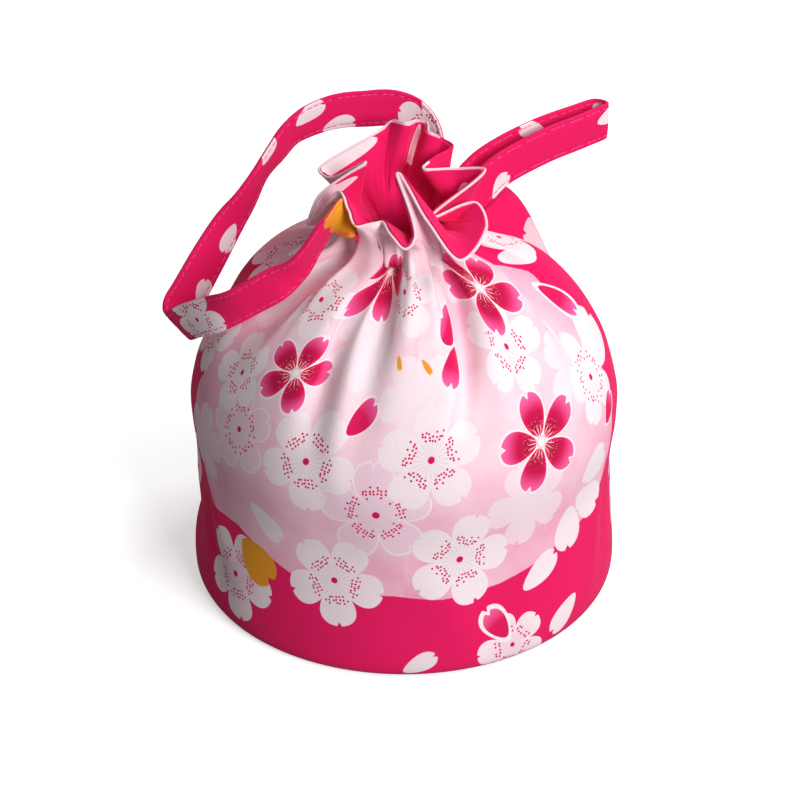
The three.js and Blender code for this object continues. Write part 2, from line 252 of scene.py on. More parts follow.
# %% Band meshes
# From the middle to the edge: mm across, and the share of the full thickness there
HALF_SECTION = (
    (0, 1), (2.3, 1), (4.5, 1), (5.6, 0.9), (6.2, 0.55), (6.8, 0.85), (7.5, 0.82), (7.85, 0.6), (8, 0.3))
OTHER_FACE = 60
NO_PRINT = -500.0
STITCH_LINE = 6.2
STITCH_LENGTH = 2.2
STITCH_PITCH = 3.0
STITCH_HALF = 0.25
STITCH_RISE = 0.6
STITCH_SIDES = 6
# From end to end of a stitch: the place along it, and the share of its half width there
STITCH_SWELL = ((-1, 0.25), (-0.75, 0.85), (0, 1), (0.75, 0.85), (1, 0.25))
# The hidden part of each band: its radius, and the bearings where it starts and ends
LEFT_RING = (20, 80, 200)
RIGHT_RING = (17, 78, 394)
LEFT_STEPS = 330
RIGHT_STEPS = 310


def band_section():
    """Places across the band and heights of its two faces, thinner on the stitch lines."""
    half_across, half_rise = np.array(HALF_SECTION).T
    across = np.concatenate([-half_across[:0:-1], half_across])
    rise = np.concatenate([half_rise[:0:-1], half_rise]) * BAND_THICKNESS / 2
    return np.concatenate([across, across[::-1]]), np.concatenate([-rise, rise[::-1]])


def stitches(centre, side, face, along):
    """Small rounded stitches along both edges of both faces."""
    bearings = np.arange(STITCH_SIDES) * 2 * np.pi / STITCH_SIDES
    rings = []
    for middle in np.arange(STITCH_PITCH, along[-1] - STITCH_PITCH, STITCH_PITCH):
        index = int(np.searchsorted(along, middle)) % len(centre)
        ahead = unit(centre[(index + 1) % len(centre)] - centre[index]) * STITCH_LENGTH / 2
        circle = np.outer(np.cos(bearings), side[index]) + np.outer(np.sin(bearings), face[index])
        for edge in (-STITCH_LINE, STITCH_LINE):
            for rise in (-STITCH_RISE, STITCH_RISE):
                place = centre[index] + side[index] * edge + face[index] * rise
                rings += [place + ahead * s + circle * w * STITCH_HALF for s, w in STITCH_SWELL]
    points = np.concatenate(rings)
    return points, quads_between(np.arange(len(points)).reshape(-1, len(STITCH_SWELL), STITCH_SIDES))


def make_band(name, run, ring, steps):
    """A flat band along a closed line: the piece, its flat places, its line and its lengths along."""
    points = np.concatenate([run, ring])
    centre = closed_curve(points[:, :3] * (BODY_RADIUS, BODY_RADIUS, 1) + (0, 0, STRING_HEIGHT), steps)
    ahead = unit(np.roll(centre, -1, 0) - np.roll(centre, 1, 0))
    side = closed_curve(points[:, 3:], steps)
    side = unit(side - ahead * (side * ahead).sum(1, keepdims=True))
    face = np.cross(ahead, side)
    across, rise = band_section()
    rows = centre + across[:, None, None] * side + rise[:, None, None] * face
    loop = np.vstack([centre, centre[:1]])
    along = np.concatenate([[0], np.cumsum(np.linalg.norm(np.diff(loop, axis=0), axis=1))])
    points, quads, flat = shell(rows, along, across + np.where(rise > 0, OTHER_FACE, 0))
    stitch_points, stitch_quads = stitches(centre, side, face, along)
    sewn = np.concatenate([quads, stitch_quads + len(points)])
    flat = np.concatenate([flat, np.full((len(stitch_quads), 4, 2), NO_PRINT)])
    piece = make_piece(name, np.concatenate([points, stitch_points]), sewn, flat)
    return piece, flat, centre, along


left_ring = ring_run(*LEFT_RING)
right_ring = ring_run(*RIGHT_RING)
left_band, left_flat, left_line, left_along = make_band(
    "cotton_band_left", LEFT_RUN, left_ring, LEFT_STEPS)
right_band, right_flat, right_line, right_along = make_band(
    "cotton_band_right", RIGHT_RUN, right_ring, RIGHT_STEPS)
print("band lengths, mm:", round(left_along[-1]), round(right_along[-1]))

# %% [markdown]
# ## The shape of the cloth
# The wall is drawn as a profile that is turned round the axis, with folds that deepen towards the
# neck. Each fold has a bearing at the neck and one at the body, a depth, and a puff that lifts the
# shoulder. The same values as in the solids are worked out here on a much finer grid, so the drawn
# cloth lies on the solid one.

# %% The shape of the cloth
FULLNESS = 0.42
MOST_UPRIGHT = 0.85
FOLD_EASE = 1.4
NECK_BLEND = 2
PUFF_FROM, PUFF_MOST, PUFF_TO = 3.8, 4.6, 5.4
# Crest and valley in turn: bearings at the neck and the body, then depth and puff
FOLDS = np.array([
    (280, 270, 0, 0), (300, 290, 0.9, 0), (324, 314, 0, 1), (343, 338, 0.8, 0),
    (367, 358, 0, 4), (388, 382, 1.2, 0), (408, 401, 0, 17), (435, 434, 1, 0),
    (458, 462, 0, 3), (481, 486, 0.7, 0), (508, 509, 0, 2), (530, 530, 1, 0),
    (552, 547, 0, 0), (573, 566, 0.6, 0), (596, 588, 0, 0), (622, 609, 1.2, 0),
])


def smoothstep(value, low, high):
    t = np.clip((value - low) / (high - low), 0, 1)
    return t * t * (3 - 2 * t)


def mix(a, b, t):
    return a + (b - a) * t


def profile_at(level):
    """Radius and height of the plain turned shape, on a smooth curve through the profile's points."""
    last = len(PROFILE) - 1
    index = np.clip(np.floor(level).astype(int), 0, last)
    t = (level - index)[..., None]
    before, here, after, beyond = (PROFILE[np.clip(index + k, 0, last)] for k in (-1, 0, 1, 2))
    return cubic_step(here, after, (after - before) / 2, (beyond - here) / 2, t)


def cloth_points(turn, level):
    """Points of the wall's outer face, in mm: turn counts half folds, level counts up the profile."""
    index = np.floor(turn).astype(int) % len(FOLDS)
    along = turn - np.floor(turn)
    here = FOLDS[index]
    following = FOLDS[(index + 1) % len(FOLDS)]
    wrap = np.where(index == len(FOLDS) - 1, 360.0, 0.0)
    ease = (1 - np.cos(np.pi * along)) / 2
    to_neck = smoothstep(level, CHEST, CHANNEL_BOTTOM)
    swing = along + MOST_UPRIGHT * to_neck * np.sin(2 * np.pi * along) / (2 * np.pi)
    start, end = (mix(f[..., 1], f[..., 0], to_neck) for f in (here, following))
    bearing = np.radians(mix(start, end + wrap, swing))
    depth = here[..., 2] * (1 - ease) ** FOLD_EASE + following[..., 2] * ease**FOLD_EASE
    dome = profile_at(level)
    narrowing = np.maximum(0, PROFILE[CHEST, 0] - dome[..., 0]) * smoothstep(level, CHEST, CHEST + 1)
    gathered = dome[..., 0] - depth * FULLNESS * narrowing
    neck = NECK_RADIUS * smoothstep(level, CHEST, CHANNEL_BOTTOM)
    radius = (gathered + neck + np.hypot(gathered - neck, NECK_BLEND)) / 2
    puff = smoothstep(level, PUFF_FROM, PUFF_MOST) * (1 - smoothstep(level, PUFF_MOST, PUFF_TO))
    height = dome[..., 1] + mix(here[..., 3], following[..., 3], ease) * puff
    return np.stack([radius * np.cos(bearing), radius * np.sin(bearing), height], -1)


print("profile, mm:", [tuple(round(float(v), 1) for v in p) for p in PROFILE])

# %% [markdown]
# ## Where a point lies on the flat cloth
# The cloth was a rectangle before it was sewn and gathered. Each point of the wall has a place on
# it: how far round from the middle of the front, and how far up from the seam, in millimetres.

# %% Flat cloth
ROUND = 2 * math.pi * BODY_RADIUS
FRILL_DEPTH = 26
FOLD_STEPS = 32
FRONT_BEARING = 270
TABLE_STEPS = 801
turns = np.arange(len(FOLDS) * FOLD_STEPS + 1) / FOLD_STEPS
body_bearings = np.append(FOLDS[:, 1], FOLDS[0, 1] + 360)
bearings = np.interp(turns, np.arange(len(body_bearings)), body_bearings)
around_mm = np.radians(bearings - FRONT_BEARING) * BODY_RADIUS
level_table = np.linspace(0, CHANNEL_TOP, TABLE_STEPS)
steps_up = np.hypot(*np.diff(profile_at(level_table), axis=0).T)
up_table = np.concatenate([[0], np.cumsum(steps_up)])


def up_mm(level):
    return np.interp(level, level_table, up_table) + np.maximum(0, level - CHANNEL_TOP) * FRILL_DEPTH


print("flat cloth, mm:", round(ROUND), "by", round(float(up_mm(RIM))))

# %% [markdown]
# ## Frill
# Above the bands the cloth is free and stands open in loose folds. Its rim is one line through
# points, two for each half fold, that go in and out round the mouth as the photograph shows them.
# The cloth springs straight up from the channel and leans out or in to that line.

# %% Frill
FRILL_ROOT = 6.5
FRILL_SPRING = 7
ROOT_STEP = 0.1
# From the front round by the right, in mm
RIM_LINE = np.array([
    (0.5, -37, 166), (4.6, -33, 169.5), (-2.5, -8, 185), (8.5, -24, 172),
    (21.5, -34, 159.5), (32.5, -17, 166), (28, -7, 172), (11.5, -14, 169.5),
    (32.5, 3, 181), (20.5, 8, 179.5), (8, 3, 182), (13, 12, 182.5),
    (20, 20, 183.5), (15.5, 26, 184), (10.5, 24, 188), (9.5, 31, 189),
    (4.5, 33, 189), (1, 26, 191), (-5, 31, 189.5), (-11, 27, 186.5),
    (-34.5, 15, 175.5), (-29.5, 8, 175), (-15.5, 1, 185.5), (-34, -4, 173),
    (-38, -8, 162), (-32.5, -12, 169.5), (-25.5, -14, 179.5), (-22, -22, 175.5),
    (-19, -29, 172), (-14, -26, 171.5), (-9, -22, 170.5), (-6, -31, 170),
])


def frill_rows(levels):
    """Rows of the frill's outer face, from the channel to the rim."""
    columns = turns[:-1]
    root = cloth_points(columns, np.full(columns.shape, FRILL_ROOT))
    below = cloth_points(columns, np.full(columns.shape, FRILL_ROOT - ROOT_STEP))
    spring = root + FRILL_SPRING * unit(root - below)
    rim = closed_curve(RIM_LINE, len(columns))
    t = ((levels - FRILL_ROOT) / (RIM - FRILL_ROOT))[:, None, None]
    return (1 - t) ** 2 * root + 2 * t * (1 - t) * spring + t**2 * rim


rim_length = np.linalg.norm(np.diff(closed_curve(RIM_LINE, len(turns) - 1), axis=0), axis=1).sum()
print("length of the rim in its folds, mm:", round(float(rim_length)))

# %% [markdown]
# ## Creases
# Cotton that is drawn together wrinkles. Three kinds are added to the plain folds: fine gathers
# that run down from the neck, soft hollows over the whole body, and the few long creases that the
# photograph shows, each one a line on the flat cloth with a height and a width.

# %% Creases
CREASE_ENDS = (0.08, 0.95)
CREASE_FADE = 0.7
SOFT_SEED = 11
SOFT_HEIGHT = 1.4
SOFT_LEAN = 0.03
SOFT_WAVES = (3, 5, 7, 8, 11, 13, 17)
GATHERS = 47
GATHER_HEIGHT = 1.5
GATHER_SHARP = 1.3
GATHER_FROM, GATHER_FULL, GATHER_TOP = 4.0, 5.8, 8.6
GATHER_LOSS = 0.85
MEAN_DEPTH = 0.6
# Waves that make the gathers unequal in width and in depth: size, number round the neck, phase
WIDTH_WAVES = ((2.4, 5, 1), (1.7, 9, 2.5))
DEPTH_WAVES = ((0.25, 7, 0), (0.15, 13, 1))
CREASES = [
    # height, width, then the line's points on the flat cloth, all in mm
    (4.0, 6, ((-46, 176), (-39, 145), (-33, 120), (-28, 90))),
    (-4.5, 6, ((-58, 178), (-53, 156), (-48, 132), (-42, 106))),
    (2.5, 7, ((29, 176), (22, 146), (19, 132), (14, 112))),
    (-4.5, 4, ((41, 178), (34, 147), (30, 132), (25, 112))),
    (2.5, 8, ((52, 176), (45, 147), (41, 130), (37, 112))),
    (1.6, 9, ((75, 176), (78, 140), (74, 112))),
    (1.8, 9, ((-80, 176), (-88, 146), (-92, 112))),
    (1.3, 6, ((-103, 56), (-92, 40), (-78, 27))),
    (-1.2, 6, ((-110, 48), (-100, 30), (-88, 16))),
    (1.3, 6, ((108, 70), (100, 44), (95, 20))),
    (-1.2, 5, ((118, 66), (110, 40), (104, 14))),
    (1.0, 10, ((-10, 60), (20, 30), (30, 8))),
    (1.2, 10, ((140, 90), (150, 50), (146, 12))),
    (-3.0, 9, ((-168, 34), (-141, 27), (-116, 23))),
    (1.2, 10, ((-150, 95), (-146, 55), (-152, 15))),
]


def wrapped(distance):
    return (distance + ROUND / 2) % ROUND - ROUND / 2


def crease_relief(around, up):
    """The long creases: a swell along each line that dies away at its ends."""
    relief = np.zeros_like(around)
    for height, width, line in CREASES:
        line = np.array(line, float)
        nearest = np.full(around.shape, ROUND)
        share = np.zeros_like(around)
        for k, (a, b) in enumerate(zip(line, line[1:])):
            du, dv = b - a
            pu = wrapped(around - a[0])
            pv = up - a[1]
            t = np.clip((pu * du + pv * dv) / (du * du + dv * dv), 0, 1)
            away = np.hypot(pu - t * du, pv - t * dv)
            closer = away < nearest
            nearest = np.where(closer, away, nearest)
            share = np.where(closer, (k + t) / (len(line) - 1), share)
        along = np.sin(np.pi * np.clip(share, *CREASE_ENDS)) ** CREASE_FADE
        relief += height * np.exp(-((nearest / width) ** 2)) * along
    return relief


def soft_relief(around, up):
    """Soft hollows: a few long waves of seeded direction and phase that meet round the body."""
    dice = np.random.default_rng(SOFT_SEED)
    relief = np.zeros_like(around)
    for waves_round in SOFT_WAVES:
        lean = dice.uniform(-SOFT_LEAN, SOFT_LEAN)
        phase = dice.uniform(0, 2 * np.pi)
        relief += np.cos(2 * np.pi * waves_round * around / ROUND + lean * up + phase) / waves_round
    return SOFT_HEIGHT * relief


def waves(turn, table):
    return sum(size * np.sin(number * turn + phase) for size, number, phase in table)


def gather_relief(around, level):
    """Fine gathers round the neck, unequal in width and depth, that open towards the rim."""
    turn = 2 * np.pi * around / ROUND
    ridge = (0.5 + 0.5 * np.cos(GATHERS * turn + waves(turn, WIDTH_WAVES))) ** GATHER_SHARP
    depth = MEAN_DEPTH + waves(turn, DEPTH_WAVES)
    opened = GATHER_LOSS * smoothstep(level, FRILL_ROOT, GATHER_TOP)
    tight = smoothstep(level, GATHER_FROM, GATHER_FULL) * (1 - opened)
    return GATHER_HEIGHT * depth * tight * ridge


print("long creases:", len(CREASES))

# %% [markdown]
# ## Wall
# The wall goes round in fine columns and up in rows that are closest where the gathers are. Its
# outer face has the creases, and its inner face follows one cloth's thickness behind. The rim is a
# narrow rounded edge.

# %% Wall
CLOTH = 1.0
LIP_STEPS = 4
INNER_EVERY = 4
SEAM_EASE = 14
CREASES_TO = 5.2
SHOULDER = 5.25
# From one level to another, and the number of rows
WALL_ROWS = ((0, CHEST, 34), (CHEST, SHOULDER, 42), (SHOULDER, CHANNEL_TOP, 20), (CHANNEL_TOP, RIM, 22))
wall_levels = np.unique(np.concatenate([np.linspace(*rows) for rows in WALL_ROWS]))
turn_grid, level_grid = np.meshgrid(turns[:-1], wall_levels)
around_grid = np.broadcast_to(around_mm[:-1], level_grid.shape)
up_grid = up_mm(level_grid)


def frame_of(rows):
    """Outward normals and upward steps of rows that close round."""
    upward = np.gradient(rows, axis=0)
    return unit(np.cross(np.roll(rows, -1, 1) - np.roll(rows, 1, 1), upward)), unit(upward)


def lip(outer_row, inner_row, upward):
    """Rows of a rounded edge between the last rows of two faces."""
    across = inner_row - outer_row
    width = np.linalg.norm(across, axis=-1, keepdims=True)
    angles = np.linspace(0, np.pi, LIP_STEPS + 2)[1:-1]
    return [outer_row + across * (1 - np.cos(a)) / 2 + upward * width * np.sin(a) / 2 for a in angles]


def make_cloth(name, outer, inner, upward, levels, outer_keep, inner_keep):
    """A cloth of two faces with a rounded edge at the top: the piece, and its corners' flat places."""
    rows = np.concatenate([outer[outer_keep], lip(outer[-1], inner[-1], upward), inner[inner_keep]])
    row_levels = np.concatenate([levels[outer_keep], np.full(LIP_STEPS, levels[-1]), levels[inner_keep]])
    points, quads, flat = shell(rows, around_mm, up_mm(row_levels))
    return make_piece(name, points, quads, flat), flat


in_frill = wall_levels > FRILL_ROOT
plain_rows = np.concatenate([
    cloth_points(turn_grid[~in_frill], level_grid[~in_frill]),
    frill_rows(wall_levels[in_frill]),
])
outward, upward = frame_of(plain_rows)
on_body = smoothstep(up_grid, 0, SEAM_EASE) * (1 - smoothstep(level_grid, CREASES_TO, CHANNEL_BOTTOM))
relief = on_body * (crease_relief(around_grid, up_grid) + soft_relief(around_grid, up_grid))
relief += gather_relief(around_grid, level_grid)
outer_rows = plain_rows + outward * relief[..., None]
wall_normals, wall_upward = frame_of(outer_rows)
inner_rows = outer_rows - wall_normals * CLOTH
row_numbers = np.arange(len(wall_levels))
wall, wall_flat = make_cloth(
    "cotton_wall", outer_rows, inner_rows, wall_upward[-1], wall_levels, row_numbers,
    row_numbers[::-INNER_EVERY])

# %% [markdown]
# ## Facing
# A second cloth lines the frill and the neck, so that the bands run between two layers. At the rim
# its edge lies close behind the wall's edge, which shows as a double line in the photograph.

# %% Facing
FACING_FROM = 5.0
FACING_TO = 8.98
FACING_SINK = 2.0
FACING_NECK = 13.5
DRAWN_IN = (5.0, 5.3)
DRAWN_OUT = (6.7, 8.2)
RIM_GAP = 0.15
FACING_RIM = 0.7
OUTER_EVERY = 3
in_facing = (wall_levels >= FACING_FROM) & (wall_levels < FACING_TO)
facing_levels = wall_levels[in_facing]
facing_grid = level_grid[in_facing]


def facing_face(depth, rim_depth, neck_radius):
    """One face of the facing, sunk behind the wall and drawn in round the neck."""
    sunk = mix(depth, rim_depth, smoothstep(facing_grid, CHANNEL_TOP, RIM))
    rows = plain_rows[in_facing] + outward[in_facing] * (relief[in_facing] - sunk)[..., None]
    drawn = smoothstep(facing_grid, *DRAWN_IN) * (1 - smoothstep(facing_grid, *DRAWN_OUT))
    radius = np.hypot(rows[..., 0], rows[..., 1])
    scale = mix(radius, np.minimum(radius, neck_radius), drawn) / radius
    return rows * np.stack([scale, scale, np.ones_like(scale)], -1)


facing_outer = facing_face(FACING_SINK, CLOTH + RIM_GAP, FACING_NECK)
facing_inner = facing_face(FACING_SINK + CLOTH, CLOTH + RIM_GAP + FACING_RIM, FACING_NECK - CLOTH)
row_numbers = np.arange(len(facing_levels))
outer_keep = np.union1d(row_numbers[::OUTER_EVERY], row_numbers[-1])
facing, facing_flat = make_cloth(
    "cotton_facing", facing_outer, facing_inner, wall_upward[in_facing][-1], facing_levels, outer_keep,
    row_numbers[::-1])

# %% [markdown]
# ## Base
# The base is a round of the same cotton under the wall. Only its edge and its underside show.

# %% Base
BASE_SIDES = 160
BASE_RINGS = 24
BASE_TUCK = 1.5
EDGE_INSET = 2
EDGE_TURN = 80
EDGE_STEPS = 7
# The rings close up in the middle to a point too small to see
BASE_MIDDLE = 0.02
edge_turns = np.radians(np.linspace(-EDGE_TURN, EDGE_TURN, EDGE_STEPS))
edge_radii = BASE_RADIUS - BASE_TUCK - BASE_THICKNESS / 2 * (1 - np.cos(edge_turns))
edge_heights = BASE_THICKNESS / 2 * (1 + np.sin(edge_turns))
inner_radii = np.linspace(BASE_MIDDLE, BASE_RADIUS - BASE_TUCK - EDGE_INSET, BASE_RINGS)
base_radii = np.concatenate([inner_radii, edge_radii, inner_radii[::-1]])
base_heights = np.concatenate([np.zeros(BASE_RINGS), edge_heights, np.full(BASE_RINGS, BASE_THICKNESS)])
base_bearings = np.linspace(0, 2 * np.pi, BASE_SIDES + 1)
base_circle = np.stack([np.cos(base_bearings[:-1]), np.sin(base_bearings[:-1])], -1)
base_rows = np.concatenate([
    base_radii[:, None, None] * base_circle,
    np.broadcast_to(base_heights[:, None, None], (len(base_radii), BASE_SIDES, 1)),
], -1)
base_points, base_quads, _ = shell(base_rows, base_bearings, base_radii)
base_flat = base_points[base_quads][..., :2]
base = make_piece("cotton_base", base_points, base_quads, base_flat)

# %% [markdown]
# ## The print
# The cloth is hot pink with large pale clouds, white blossoms with magenta dots, dark blossoms
# with pale stamens, and loose petals: a common pattern for such cloth. A blossom is a place on the
# flat cloth, a petal's length and a turn. Blossoms that overlap are in different layers. Each face
# stores the coordinates of its nearest blossom in every layer, measured in petal lengths, so that
# the material can draw the petals exactly.

# %% Blossoms on the wall
PLAIN, PALE, GHOST, SHADED = 0, 1, 2, 3
DARK, GOLD_PETAL, OUTLINED = 0, 1, 2
FIVE, ONE = 0, 1


def alike(count, kind, *places):
    """Motifs with the same number of petals and of the same kind."""
    return [(*place[:4], count, kind, *place[4:]) for place in places]


# Each one: place round and up, petal length, turn in degrees, and for some how many times broader
# than its kind
WHITE_LOW = [
    *alike(FIVE, PALE, (-78, 96, 19, 30), (-11, 77, 23, 23)),
    *alike(FIVE, GHOST, (54, 72, 20, 40), (-32, 139, 18, 0), (2, 124, 18, 50), (88, 120, 19, 0),
           (-105, 78, 17, 10), (-100, 150, 18, 40), (30, 170, 18, 20), (70, 214, 17, 20)),
    *alike(FIVE, PLAIN, (54, 136, 20, 10), (-128, 120, 20, 10), (140, 60, 19, 12),
           (-150, 60, 20, 44), (140, 170, 18, 30), (-145, 175, 18, 30), (-200, 150, 19, 30),
           (-30, 212, 17, 20)),
    *alike(ONE, PLAIN, (79, 62, 23, 266, 1.5), (81, 64, 23, 325, 1.5), (83, 67, 22, 22, 1.5),
           (108, 106, 30, 35, 1.7)),
    *alike(FIVE, SHADED, (-165, 146, 20, 0)),
]
WHITE_TOP = [
    *alike(FIVE, PLAIN, (-41, 95, 21, 60), (-29, 42, 21, 61), (10, 100, 22, 20), (23, 53, 22, 0),
           (-10, 166, 20, 15), (-91, 116, 17, 48), (103, 107, 19, 25), (-71, 158, 18, 5)),
    *alike(FIVE, SHADED, (-79, 27, 21, 66), (46, 7, 16, 40)),
    *alike(ONE, PLAIN, (-2, 1, 17.5, 31), (50, 29, 24, 33), (83, 18, 22, 218), (-71, 68, 23, 322),
           (112, 158, 27, 2), (-131, 38, 24, 75), (-140, 96, 24, 110), (126, 20, 22, 60),
           (150, 108, 24, 250)),
]
DARK_TOP = [
    *alike(FIVE, DARK, (-61, 127, 17, 79), (61, 97, 21, 31), (57, 162, 22, 40), (-36, 165, 20, 0)),
    *alike(ONE, GOLD_PETAL, (-9, 141, 7, 285, 0.7), (1, 140, 9, 305, 0.5),
           (-78, 47, 25, 323, 1.4), (-66, 216, 16, 90)),
    *alike(ONE, DARK, (23, 138, 17, 112, 1.7), (23, 141, 17, 248, 1.7), (-28, 106, 18.5, 54),
           (104, 84, 16, 40)),
    *alike(ONE, OUTLINED, (45, 9.5, 19, 122), (115, 145, 20, 292), (-130, 150, 20, 240)),
]
BACK = ROUND / 2
FRONT_HALF = 125
FRONT_TOP = 205


def both_sides(motifs):
    """The front's motifs and the same ones again on the back, mirrored, as a repeat of the cloth."""
    front = [m for m in motifs if abs(m[0]) < FRONT_HALF and m[1] < FRONT_TOP]
    return motifs + [(BACK - u, v, length, 180 - turn, *rest) for u, v, length, turn, *rest in front]


print("motifs on the wall:", len(both_sides(WHITE_LOW + WHITE_TOP + DARK_TOP)))

# %% Motifs to faces
FAR = 9.0
SEEN_TO = 1.3
ONE_MIDDLE = 0.55
ONE_REACH = 0.62


def lay_motifs(piece, flat, layer, motifs):
    """Store, for each face, its place in the nearest motif, and that motif's size, count and kind."""
    middle = flat.mean(1)
    place = np.full(flat.shape, FAR)
    facts = np.tile((1.0, FIVE, PLAIN), (len(flat), 1))
    best = np.full(len(flat), SEEN_TO)
    for u, v, length, turn, count, kind, *broader in motifs:
        turn = math.radians(turn)
        heading = np.array([math.cos(turn), math.sin(turn)])
        heart = np.array([u, v]) + count * ONE_MIDDLE * length * heading
        to_heart = np.hypot(wrapped(middle[:, 0] - heart[0]), middle[:, 1] - heart[1])
        share = to_heart / (length * (ONE_REACH if count == ONE else 1))
        near = share < best
        best[near] = share[near]
        away = flat[near] - middle[near][:, None]
        away[..., 0] += wrapped(middle[near, 0] - u)[:, None]
        away[..., 1] += (middle[near, 1] - v)[:, None]
        along = away @ heading
        aside = away @ np.array([-heading[1], heading[0]]) / (broader[0] if broader else 1)
        place[near] = np.stack([along, aside], -1) / length
        facts[near] = (length, count, kind)
    store_places(piece.data, layer, place)
    all_facts = piece.data.attributes.new(layer + "_facts", "FLOAT_VECTOR", "FACE").data
    all_facts.foreach_set("vector", facts.ravel())


# The pale cloud's lower edge from left to right, and how far it reaches to each side at each height
CLOUD_EDGE = (
    (-125, 48), (-79, 50), (-57, 43), (-40, 37), (-4, 38), (15, 36), (41, 37), (55, 40), (73, 45),
    (92, 49), (125, 70))
CLOUD_LEFT = ((0, 113), (110, 113), (150, 135), (185, 170), (240, 175))
CLOUD_RIGHT = ((0, 113), (150, 113), (190, 84), (240, 84))
BACK_LESS = 45
CORNER_FROM = 95
CORNER_ROUND = 16
SCALLOP_DEEP = 7
SCALLOP_LONG = 27
NO_CLOUD = -99.0
RIM_PALENESS = 90.0
RIM_WHITE = 0.6
RIM_WHITE_TO = 185


def cloud_depth(around, up):
    """How far a place is inside the pale cloud, in mm; the back has a cloud like the front's."""
    depth = np.full(around.shape, NO_CLOUD)
    for front, less in ((wrapped(around), 0), (wrapped(BACK - around), BACK_LESS)):
        below = np.interp(front, *zip(*CLOUD_EDGE))
        below = below + np.maximum(np.abs(front) - CORNER_FROM, 0) ** 2 / CORNER_ROUND
        scallop = SCALLOP_DEEP * np.abs(np.sin(np.pi * up / SCALLOP_LONG))
        right = np.interp(up, *zip(*CLOUD_RIGHT)) + scallop
        left = np.interp(up, *zip(*CLOUD_LEFT)) + scallop
        inside = np.minimum.reduce([up - below, front + left - less, right - front - less])
        depth = np.maximum(depth, inside)
    return depth


def store_cloud(piece, depth):
    cloud = piece.data.attributes.new("cloud", "FLOAT", "CORNER").data
    cloud.foreach_set("value", depth.astype(np.float32).ravel())


for layer, motifs in (("white_low", WHITE_LOW), ("white_top", WHITE_TOP), ("dark_top", DARK_TOP)):
    lay_motifs(wall, wall_flat, layer, both_sides(motifs))
wall_around, wall_up = wall_flat[..., 0], wall_flat[..., 1]
at_rim = (wall_up > up_mm(RIM) - RIM_WHITE) & (np.abs(wrapped(wall_around)) < RIM_WHITE_TO)
wall_cloud = np.where(at_rim, RIM_PALENESS, cloud_depth(wall_around, wall_up))
store_cloud(wall, wall_cloud)
print("share of the wall's faces in the cloud:", round(float((wall_cloud > 0).mean()), 2))

# %% Blossoms on the other pieces
FACING_PETALS = [
    *alike(ONE, PLAIN, (-212, 218, 30, 5), (150, 214, 24, 250)),
    *alike(ONE, PALE, (-276, 224, 26, 268, 1.6), (-157, 217, 30, 0)),
]
FACING_GOLD = [
    *alike(ONE, GOLD_PETAL, (-66, 219, 17, 265)),
    *alike(ONE, OUTLINED, (20, 214, 18, 250)),
]
BASE_BLOSSOMS = [
    *alike(FIVE, PLAIN, (-30, 25, 22, 20), (-15, -50, 21, 10)),
    *alike(FIVE, SHADED, (35, -20, 20, 50)),
]
BASE_PETALS = [
    *alike(ONE, DARK, (40, 45, 22, 200)),
    *alike(ONE, OUTLINED, (-60, -10, 22, 300)),
]
# On a band: the run's point that the motif lies at, and how far across
LEFT_MOTIFS = [
    *alike(FIVE, PLAIN, (8.6, 0, 15, 200), (23.6, 0, 15, 180)),
    *alike(ONE, PLAIN, (14.3, -2, 15, 190), (16.2, 4, 14, 20), (18.2, 2, 16, 15),
           (19.2, -7, 18, 5)),
    *alike(ONE, SHADED, (11.4, -8, 14, 20)),
]
LEFT_GOLD = [(4, across, 19, 0, ONE, GOLD_PETAL, 2.2) for across in (0, OTHER_FACE)]
RIGHT_MOTIFS = [
    *alike(ONE, PLAIN, (4.2, 1, 16, 10), (7.6, 0, 15, 30), (1.2, -8, 15, 20)),
]


def on_band(motifs, run, ring, along):
    """A band's motifs at lengths along it, on both of its faces."""
    points = np.linspace(0, len(run) + len(ring), len(along))
    places = np.interp([m[0] for m in motifs], points, along)
    one_face = [(u, *m[1:]) for u, m in zip(places, motifs)]
    return one_face + [(u, v + OTHER_FACE, *rest) for u, v, *rest in one_face]


for piece, flat, low, dark in (
    (facing, facing_flat, FACING_PETALS, FACING_GOLD),
    (base, base_flat, BASE_BLOSSOMS, BASE_PETALS),
    (left_band, left_flat, on_band(LEFT_MOTIFS, LEFT_RUN, left_ring, left_along), LEFT_GOLD),
    (right_band, right_flat, on_band(RIGHT_MOTIFS, RIGHT_RUN, right_ring, right_along), []),
):
    lay_motifs(piece, flat, "white_low", low)
    lay_motifs(piece, flat, "white_top", [])
    lay_motifs(piece, flat, "dark_top", dark)
    store_cloud(piece, np.full(flat.shape[:2], NO_CLOUD))
print("motifs on the bands:", len(LEFT_MOTIFS), "and", len(RIGHT_MOTIFS))

# %% [markdown]
# ## Colours and nodes
# Colours are written as sRGB hex values, as they are read from a picture, and Blender works in
# linear light, so one function turns them. One more function adds a shader node, sets it and
# links it, so that a material reads as a list of steps. A node's kind is followed by the choice
# that it offers, such as an operation. Then come its inputs, in order or by name, each a node, a
# socket or a value. Names in small letters are other settings.

# %% Colours and nodes
CHOICES = {
    "Math": "operation", "VectorMath": "operation", "Mix": "data_type", "TexNoise": "noise_dimensions",
    "TexWhiteNoise": "noise_dimensions", "TexVoronoi": "voronoi_dimensions"}


def linear(hex_value):
    channels = [(hex_value >> shift & 255) / 255 for shift in (16, 8, 0)]
    return tuple(c / 12.92 if c <= 0.04045 else ((c + 0.055) / 1.055) ** 2.4 for c in channels) + (1.0,)


